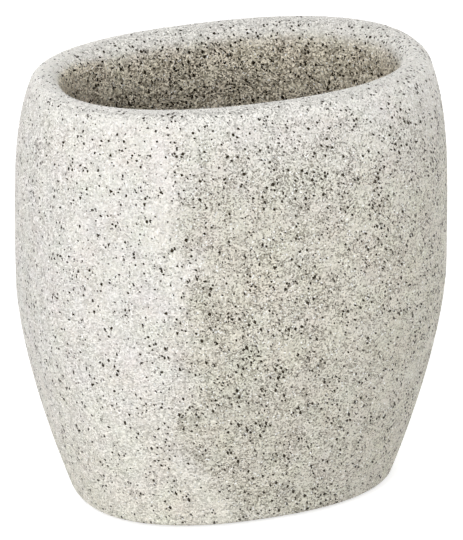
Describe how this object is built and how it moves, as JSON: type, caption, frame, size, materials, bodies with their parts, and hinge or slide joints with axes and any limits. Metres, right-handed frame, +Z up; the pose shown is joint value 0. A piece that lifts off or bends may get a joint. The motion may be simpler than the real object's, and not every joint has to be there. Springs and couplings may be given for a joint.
{
  "type": "toothbrush holder",
  "caption": "Open oval tumbler of speckled stone-look cast resin with swollen sides and a rounded rim, standing on soft stick-on pads, for keeping toothbrushes upright.",
  "frame": {"origin": "on the surface that the foot pads stand on, under the middle of the cup", "axes": "+X along the cup's length, +Y through its depth, +Z up out of the open mouth"},
  "size_m": [0.1074, 0.0778, 0.1106],
  "materials": {
    "stone": "fine sandy off-white cast resin, satin, with sparse black, grey and white specks",
    "soft_pad": "matt dark grey foam rubber"
  },
  "bodies": {
    "root": {"cup": "stone", "foot_pad_front_left": "soft_pad", "foot_pad_front_right": "soft_pad", "foot_pad_back_left": "soft_pad", "foot_pad_back_right": "soft_pad"}
  },
  "joints": []
}
